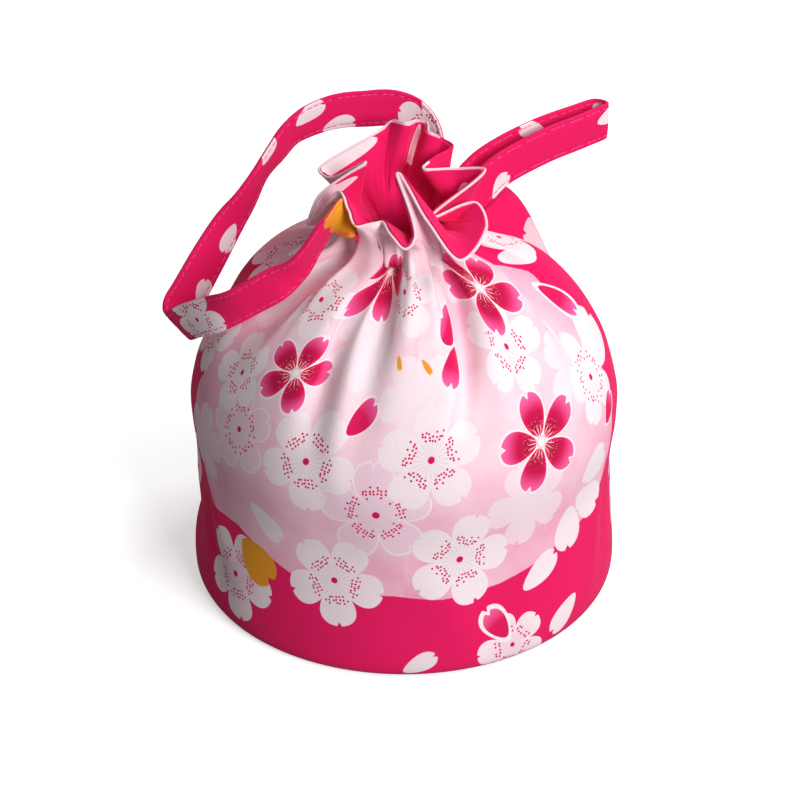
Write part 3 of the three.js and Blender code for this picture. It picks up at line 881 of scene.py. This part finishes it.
def add_node(tree, kind, *inputs, **named):
    """A node of a kind, with its choice and settings, and its inputs linked or set."""
    kind, _, choice = kind.partition(" ")
    node = tree.nodes.new("ShaderNode" + kind)
    if choice:
        setattr(node, CHOICES[kind], choice)
    for name, value in named.items():
        if name.islower():
            setattr(node, name, value)
    sockets = {s.name: s for s in node.inputs if s.enabled}
    given = list(zip(node.inputs, inputs))
    given += [(sockets[name], value) for name, value in named.items() if not name.islower()]
    for socket, source in given:
        if isinstance(source, bpy.types.Node):
            source = next(s for s in source.outputs if s.enabled)
        if isinstance(source, bpy.types.NodeSocket):
            tree.links.new(source, socket)
        else:
            socket.default_value = source
    return node


def new_group(name, inputs, outputs):
    """An empty node group with its sockets, and its input and output nodes."""
    group = bpy.data.node_groups.new(name, "ShaderNodeTree")
    for way, sockets in (("INPUT", inputs), ("OUTPUT", outputs)):
        for label, kind in sockets.items():
            group.interface.new_socket(label, in_out=way, socket_type="NodeSocket" + kind)
    return group, group.nodes.new("NodeGroupInput").outputs, group.nodes.new("NodeGroupOutput").inputs


def new_material(name, finish):
    """A material with the plain values of its surface, its nodes, and its surface's inputs."""
    material = bpy.data.materials.new(name)
    material.use_nodes = True
    surface = material.node_tree.nodes["Principled BSDF"].inputs
    for label, value in finish.items():
        surface[label].default_value = value
    return material, material.node_tree, surface


HOT_PINK = 0xE81A61
CLOUD_PINK = 0xF0A4BE
CLOUD_PALE = 0xF8DCE3
PETAL_WHITE = 0xF4E3E9
PETAL_PINK = 0xF2CFDF
DOT_PINK = 0xD4125C
HEART_RED = 0xB40C42
MID_RED = 0xDC1858
TIP_PINK = 0xF866A8
STAMEN = 0xFBE9EF
LINE_GREY = 0xE2D2D8
GOLD = 0xEA9A26
SPECK = 0xD98A6A
print("hot pink, linear:", [round(c, 3) for c in linear(HOT_PINK)])

# %% [markdown]
# ## One petal, five times
# A cherry petal is an egg shape with its point at the blossom's heart and a small notch at the tip.
# The group turns a place in a blossom into the nearest petal, and gives the distance to that
# petal's edge in millimetres, which is negative inside.

# %% Petal group
# All in petal lengths: the egg's middle and half length, how it widens, and the notch's opening
PETAL_MIDDLE = 0.56
PETAL_HALF = 0.44
PETAL_FLARE = 0.65
PETAL_FOOT = 0.55
PETAL_LEAST = 0.1
NOTCH_OPEN = 0.6
FIFTH = 2 * math.pi / 5
petals, given, result = new_group(
    "petals", {"Place": "Vector", "Facts": "Vector", "Width": "Float", "Notch": "Float", "Heart": "Float"},
    {"Edge": "Float", "Reach": "Float", "Bearing": "Float", "Local": "Vector"})
add = partial(add_node, petals)
place = add("SeparateXYZ", given["Place"]).outputs
facts = add("SeparateXYZ", given["Facts"]).outputs
reach = add("VectorMath LENGTH", given["Place"])
bearing = add("Math ARCTAN2", place["Y"], place["X"])
half_on = add("Math ADD", bearing, FIFTH / 2)
fifth = add("Math SNAP", half_on, FIFTH)
many = add("Math SUBTRACT", 1.0, facts["Y"])
turned = add("Math MULTIPLY", fifth, many)
aside = add("Math SUBTRACT", bearing, turned)
cosine = add("Math COSINE", aside)
sine = add("Math SINE", aside)
along = add("Math MULTIPLY", reach, cosine)
sideways = add("Math MULTIPLY", reach, sine)
across = add("Math ABSOLUTE", sideways)
widening = add("Math MULTIPLY_ADD", along, PETAL_FLARE, PETAL_FOOT)
positive = add("Math MAXIMUM", widening, PETAL_LEAST)
half_width = add("Math MULTIPLY", positive, given["Width"])
past_middle = add("Math SUBTRACT", along, PETAL_MIDDLE)
lengthwise = add("Math DIVIDE", past_middle, PETAL_HALF)
crosswise = add("Math DIVIDE", across, half_width)
egg = add("CombineXYZ", lengthwise, crosswise)
egg_size = add("VectorMath LENGTH", egg)
egg_beyond = add("Math SUBTRACT", egg_size, 1.0)
egg_edge = add("Math MULTIPLY", egg_beyond, given["Width"])
notch_start = add("Math SUBTRACT", 1.0, given["Notch"])
past_notch = add("Math SUBTRACT", along, notch_start)
notch_half = add("Math MULTIPLY", past_notch, NOTCH_OPEN)
notch_edge = add("Math SUBTRACT", notch_half, across)
petal_edge = add("Math MAXIMUM", egg_edge, notch_edge)
heart_edge = add("Math SUBTRACT", reach, given["Heart"])
only_petal = add("Math MULTIPLY_ADD", facts["Y"], FAR, heart_edge)
edge = add("Math MINIMUM", petal_edge, only_petal)
edge_mm = add("Math MULTIPLY", edge, facts["X"])
local = add("CombineXYZ", along, sideways)
for label, source in {"Edge": edge_mm, "Reach": reach, "Bearing": bearing, "Local": local}.items():
    petals.links.new(next(s for s in source.outputs if s.enabled), result[label])
print("petal nodes:", len(petals.nodes))

# %% [markdown]
# ## What all blossoms share
# White and dark blossoms are groups that draw one layer of the print over the colour below it. Both
# start from the petals, and both have stamens, fine lines that spread from the heart. A map range
# node is given a value, then the value that becomes 0 and the value that becomes 1. Two more values
# stand for 0 and 1 where it ends at others.

# %% What all blossoms share
STAMENS = 20.0
EDGE_SOFT = 0.12


def blossom_group(name, five_width, one_width, notch, heart):
    """The start of a layer's group; widths, notch and heart are in petal lengths."""
    group, given, result = new_group(
        name, {"Below": "Color", "Place": "Vector", "Facts": "Vector"}, {"Colour": "Color"})
    add = partial(add_node, group)
    facts = add("SeparateXYZ", given["Facts"]).outputs
    many = add("Math SUBTRACT", 1.0, facts["Y"])
    width = add("Math MULTIPLY_ADD", many, five_width - one_width, one_width)
    form = {"Place": given["Place"], "Facts": given["Facts"], "Width": width, "Notch": notch}
    petal = add("Group", node_tree=petals, Heart=heart, **form).outputs
    inside = add("MapRange", petal["Edge"], EDGE_SOFT, -EDGE_SOFT)
    return group, given["Below"], result["Colour"], facts, many, petal, inside


def stamens(add, petal, thin, full, end, start):
    """Fine lines from the heart: 1 on a line, 0 beside it and past its end."""
    spokes = add("Math MULTIPLY", petal["Bearing"], STAMENS)
    wave = add("Math COSINE", spokes)
    line = add("MapRange", wave, thin, full)
    near = add("MapRange", petal["Reach"], end, start)
    return add("Math MULTIPLY", line, near)


# %% [markdown]
# ## White blossoms
# A white blossom has broad petals. Some are pale pink with a white line round each petal, and some
# are only a paler shape in the cloud. Round the heart stand clusters of magenta dots.

# %% White blossom group
# In mm: the dots' pitch and edge, and the white line inside a petal's edge
DOT_PITCH = 1.5
DOT_EDGE = (0.54, 0.42)
PETAL_RIM = (-0.9, -0.6)
# In petal lengths: the ring of dots, the heart's dot, and where the heart's shade ends and is full
DOT_RING = (0.34, 0.53)
HEART_DOT = (0.075, 0.06)
SHADE_REACH = (0.85, 0.35)
DOT_SPREAD = 0.48
DOT_LOOSE = 0.5
DOTS_LOST = 0.12
GHOST_LOSS = 0.3
WHITE_PETAL = (0.39, 0.25, 0.09, 0.3)
WHITE_STAMENS = (0.6, 0.9, 0.38, 0.3)
white, below, colour_out, facts, many, petal, inside = blossom_group("white_blossom", *WHITE_PETAL)
add = partial(add_node, white)
is_pale, is_ghost, is_shaded = (
    add("Math COMPARE", facts["Z"], float(kind), 0.5) for kind in (PALE, GHOST, SHADED))
rim_line = add("MapRange", petal["Edge"], *PETAL_RIM)
no_rim = add("Math SUBTRACT", 1.0, rim_line)
to_heart = add("MapRange", petal["Reach"], *SHADE_REACH)
shade_in = add("Math MULTIPLY", to_heart, is_shaded)
pink_fill = add("Math MAXIMUM", shade_in, is_pale)
pink_share = add("Math MULTIPLY", pink_fill, no_rim)
pitch = add("Math DIVIDE", DOT_PITCH, facts["X"])
half_pitch = add("Math MULTIPLY", pitch, 0.5)
shifted = add("VectorMath ADD", petal["Local"], half_pitch)
dot_place = add("VectorMath SNAP", shifted, pitch)
dot_dice = add("TexWhiteNoise 3D", dot_place).outputs
dot_throw = add("VectorMath SUBTRACT", dot_dice["Color"], (0.5, 0.5, 0.5))
loose = add("Math MULTIPLY", pitch, DOT_LOOSE)
dot_shift = add("VectorMath SCALE", dot_throw, Scale=loose)
dot_middle = add("VectorMath ADD", dot_place, dot_shift)
flat_middle = add("VectorMath MULTIPLY", dot_middle, (1, 1, 0))
to_dot = add("VectorMath DISTANCE", petal["Local"], flat_middle)
to_dot_mm = add("Math MULTIPLY", to_dot, facts["X"])
dot_reach = add("VectorMath LENGTH", dot_place)
dot_parts = add("SeparateXYZ", dot_place).outputs
dot_aside = add("Math ARCTAN2", dot_parts["Y"], dot_parts["X"])
dot_tilt = add("Math ABSOLUTE", dot_aside)
ring_dot = add("MapRange", to_dot_mm, *DOT_EDGE)
for value, limit, test in (
    (dot_reach, DOT_RING[0], "GREATER_THAN"),
    (dot_reach, DOT_RING[1], "LESS_THAN"),
    (dot_tilt, DOT_SPREAD, "LESS_THAN"),
    (dot_dice["Value"], DOTS_LOST, "GREATER_THAN"),
):
    passed = add("Math " + test, value, limit)
    ring_dot = add("Math MULTIPLY", ring_dot, passed)
heart_dot = add("MapRange", petal["Reach"], *HEART_DOT)
all_dots = add("Math MAXIMUM", ring_dot, heart_dot)
not_ghost = add("Math SUBTRACT", 1.0, is_ghost)
may_dot = add("Math MULTIPLY", many, not_ghost)
dot_share = add("Math MULTIPLY", all_dots, may_dot)
stamen = stamens(add, petal, *WHITE_STAMENS)
stamen_share = add("Math MULTIPLY", stamen, may_dot)
colour = linear(PETAL_WHITE)
for share, tint in ((pink_share, PETAL_PINK), (stamen_share, LINE_GREY), (dot_share, DOT_PINK)):
    colour = add("Mix RGBA", Factor=share, A=colour, B=linear(tint))
paleness = add("Math MULTIPLY_ADD", is_ghost, -GHOST_LOSS, 1.0)
cover = add("Math MULTIPLY", inside, paleness)
drawn = add("Mix RGBA", Factor=cover, A=below, B=colour)
white.links.new(drawn.outputs[2], colour_out)
print("white blossom nodes:", len(white.nodes))

# %% [markdown]
# ## Dark blossoms
# A dark blossom's petals are deep red in the middle and bright pink at the tips, with a white line
# round each petal, white stamens and a few pale specks. The same group draws loose petals of gold,
# and loose petals with a broader white line.

# %% Dark blossom group
# In mm: the white line and its edge, the specks' pitch, and where the deep red starts and is full
LINE_WIDTH = 0.7
LINE_SOFT = 0.15
SPECK_PITCH = 1.5
DEEP_INSIDE = (-0.3, -2.6)
# In petal lengths from the heart: the deep red, the red before the tip, the white core, the specks
DEEP_REACH = (0.85, 0.4)
MID_REACH = 0.6
CORE_REACH = (0.16, 0.08)
SPECK_REACH = (0.52, 0.44)
SPECK_EDGE = (0.2, 0.1)
DARK_PETAL = (0.32, 0.27, 0.12, 0.12)
DARK_STAMENS = (0.8, 0.95, 0.36, 0.26)
dark, below, colour_out, facts, many, petal, inside = blossom_group("dark_blossom", *DARK_PETAL)
add = partial(add_node, dark)
is_gold, is_outlined = (
    add("Math COMPARE", facts["Z"], float(kind), 0.5) for kind in (GOLD_PETAL, OUTLINED))
ramp = add("ValToRGB", petal["Reach"])
ramp.color_ramp.elements.new(MID_REACH).color = linear(MID_RED)
ramp.color_ramp.elements[0].color = linear(MID_RED)
ramp.color_ramp.elements[-1].color = linear(TIP_PINK)
deep_along = add("MapRange", petal["Reach"], *DEEP_REACH)
deep_inside = add("MapRange", petal["Edge"], *DEEP_INSIDE)
deep = add("Math MULTIPLY", deep_along, deep_inside)
flat_place = add("UVMap", uv_map="flat_mm")
specks = add("TexVoronoi 2D", flat_place, Scale=1 / SPECK_PITCH, Randomness=1.0).outputs
speck = add("MapRange", specks["Distance"], *SPECK_EDGE)
speck_end = add("MapRange", petal["Reach"], *SPECK_REACH)
speck_share = add("Math MULTIPLY", speck, speck_end)
stamen = stamens(add, petal, *DARK_STAMENS)
core = add("MapRange", petal["Reach"], *CORE_REACH)
pale_heart = add("Math MAXIMUM", stamen, core)
full = ramp
for share, tint in ((deep, HEART_RED), (speck_share, SPECK), (pale_heart, STAMEN)):
    full = add("Mix RGBA", Factor=share, A=full, B=linear(tint))
red = add("Mix RGBA", Factor=many, A=ramp, B=full)
fill = add("Mix RGBA", Factor=is_gold, A=red, B=linear(GOLD))
line_width = add("Math MULTIPLY_ADD", is_outlined, LINE_WIDTH, LINE_WIDTH)
past_line = add("Math SUBTRACT", petal["Edge"], line_width)
halo = add("MapRange", past_line, LINE_SOFT, -LINE_SOFT)
no_gold = add("Math SUBTRACT", 1.0, is_gold)
halo_share = add("Math MULTIPLY", halo, no_gold)
haloed = add("Mix RGBA", Factor=halo_share, A=below, B=linear(STAMEN))
drawn = add("Mix RGBA", Factor=inside, A=haloed, B=fill)
dark.links.new(drawn.outputs[2], colour_out)
print("dark blossom nodes:", len(dark.nodes))

# %% [markdown]
# ## Printed cotton
# The material lays the print in order: ground, cloud, two layers of white blossoms, dark ones. The
# cloth is matt, with a slight fuzz that catches light at its edges, and a crepe weave. The threads
# are drawn about three times coarser than real ones, because real ones are too fine to show.

# %% Printed cotton
THREAD_PITCH = 0.9
WEAVE_SHARE = 0.12
CREPE_SCALE = 1.5
MOTTLE_SCALE = 0.045
NOISE_DETAIL = 2.0
RELIEF = {"Strength": 0.35, "Distance": 0.0004}
CLOUD_SOFT = 0.15
CLOUD_MIDDLE = 60.0
CLOUD_TONES = (-0.3, 0.25)
FINISH = {"Roughness": 0.85, "Specular IOR Level": 0.12, "Sheen Weight": 0.08, "Sheen Roughness": 0.4}
cotton, tree, surface = new_material("printed_cotton", FINISH)
add = partial(add_node, tree)
flat_place = add("UVMap", uv_map="flat_mm")
mottle = add("TexNoise 2D", flat_place, Scale=MOTTLE_SCALE, Detail=NOISE_DETAIL)
crepe = add("TexNoise 2D", flat_place, Scale=CREPE_SCALE, Detail=NOISE_DETAIL)
cloud = add("Attribute", attribute_name="cloud").outputs["Fac"]
to_middle = add("MapRange", cloud, 0.0, CLOUD_MIDDLE, *CLOUD_TONES)
paler = add("Math ADD", to_middle, mottle, use_clamp=True)
cloud_tint = add("Mix RGBA", Factor=paler, A=linear(CLOUD_PINK), B=linear(CLOUD_PALE))
cloud_share = add("MapRange", cloud, -CLOUD_SOFT, CLOUD_SOFT)
ground = add("Mix RGBA", Factor=cloud_share, A=linear(HOT_PINK), B=cloud_tint)
for layer, group in (("white_low", white), ("white_top", white), ("dark_top", dark)):
    place = add("UVMap", uv_map=layer)
    facts = add("Attribute", attribute_name=layer + "_facts").outputs["Vector"]
    ground = add("Group", node_tree=group, Below=ground, Place=place, Facts=facts)
threads = add("VectorMath MULTIPLY", flat_place, (2 * math.pi / THREAD_PITCH,) * 3)
across = add("SeparateXYZ", threads).outputs
warp = add("Math SINE", across["X"])
weft = add("Math SINE", across["Y"])
weave = add("Math MULTIPLY", warp, weft)
height = add("Math MULTIPLY_ADD", weave, WEAVE_SHARE, crepe)
bump = add("Bump", Height=height, **RELIEF)
tree.links.new(ground.outputs["Colour"], surface["Base Color"])
tree.links.new(bump.outputs["Normal"], surface["Normal"])
print("cotton nodes:", len(tree.nodes))

# %% Thread, and which faces have which
# The thread is a lighter, smoother pink, so that the stitches show as fine dashes
THREAD_PINK = 0xEC4F8A
THREAD_FINISH = {"Base Color": linear(THREAD_PINK), "Roughness": 0.6}
thread, _, _ = new_material("sewing_thread", THREAD_FINISH)
for piece in (wall, facing, base, left_band, right_band):
    piece.data.materials.append(cotton)
for piece, flat in ((left_band, left_flat), (right_band, right_flat)):
    piece.data.materials.append(thread)
    sewn = (flat[:, 0, 0] == NO_PRINT).astype(np.int32)
    piece.data.polygons.foreach_set("material_index", sewn)
    print("faces of thread on", piece.name, sewn.sum())

# %% [markdown]
# ## What each piece stands for
# Each drawn piece takes the place of one solid, which is hidden, and all hang from the root.

# %% Place the pieces
for piece, node in (
    (wall, "outer_wall"), (facing, "mouth_facing"), (base, "outer_base"),
    (left_band, "drawstring_left"), (right_band, "drawstring_right"),
):
    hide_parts(node)
    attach(piece, "root")

# %% [markdown]
# ## Floor and light
# The photograph is a studio cut-out on white. A white floor fills the view and keeps a soft shadow.
# A large soft lamp stands in front, at the right and above, so the left side falls into shade. Two
# weaker lamps at the right, above and behind, brighten the shoulder and the frill. The pale world
# fills the folds. What the camera sees of floor and world is white, and what they throw back at the
# cloth is weaker, as from a dim room.

# %% Floor
FLOOR_SIDE = 8
FLOOR_WHITE = 0xFCFCFC
FLOOR_BOUNCE = 0x8C8A8A
PAPER_GLOW = 0.5
WHITE = (1, 1, 1, 1)
# Paper is matt, so no lamp is mirrored in it
PAPER_FINISH = {"Roughness": 0.95, "Specular IOR Level": 0.1, "Emission Color": WHITE}
half = FLOOR_SIDE / 2
corners = [(-half, -half, 0), (half, -half, 0), (half, half, 0), (-half, half, 0)]
floor_mesh = bpy.data.meshes.new("floor")
floor_mesh.from_pydata(corners, [], [(0, 1, 2, 3)])
floor = add_object("floor", floor_mesh)
paper, tree, surface = new_material("white_paper", PAPER_FINISH)
add = partial(add_node, tree)
seen = add("LightPath").outputs["Is Camera Ray"]
paper_colour = add("Mix RGBA", Factor=seen, A=linear(FLOOR_BOUNCE), B=linear(FLOOR_WHITE))
paper_glow = add("Math MULTIPLY", seen, PAPER_GLOW)
tree.links.new(paper_colour.outputs[2], surface["Base Color"])
tree.links.new(paper_glow.outputs[0], surface["Emission Strength"])
floor_mesh.materials.append(paper)
floor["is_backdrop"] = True
print("floor side, m:", FLOOR_SIDE)

# %% Lamps and world
LAMPS = {
    # place in m, size in m, power in W
    "key": ((1.1, -1.65, 1.05), 0.9, 37.0),
    "above": ((1.1, -0.6, 1.9), 0.9, 10.0),
    "back": ((1.1, 0.95, 1.75), 0.9, 19.0),
}
AIM = Vector((0, 0, 0.1))
WORLD_LIGHT = 0.2
for name, (place, size, power) in LAMPS.items():
    light = bpy.data.lights.new(name, "AREA")
    light.size = size
    light.energy = power
    lamp = add_object(name, light)
    lamp.location = place
    lamp.rotation_euler = (AIM - Vector(place)).to_track_quat("-Z", "Y").to_euler()

world = bpy.data.worlds.new("studio")
world.use_nodes = True
bpy.context.scene.world = world
tree = world.node_tree
add = partial(add_node, tree)
sky = tree.nodes["Background"].inputs
rays = add("LightPath").outputs
seen = rays["Is Camera Ray"]
for way in ("Is Glossy Ray", "Is Transmission Ray"):
    seen = add("Math MAXIMUM", seen, rays[way])
strength = add("MapRange", seen, 0.0, 1.0, WORLD_LIGHT, 1.0)
tree.links.new(strength.outputs[0], sky["Strength"])
sky["Color"].default_value = WHITE
bpy.context.scene.view_settings.view_transform = "Standard"
print("lamps:", ", ".join(LAMPS))

# %% [markdown]
# ## Sizes
# The drawn pouch is meant to keep the size of the solid one. Its box is printed.

# %% Sizes
low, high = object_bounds()
print("drawn box, mm:", [round(v / MM, 1) for v in (*low, *high)])
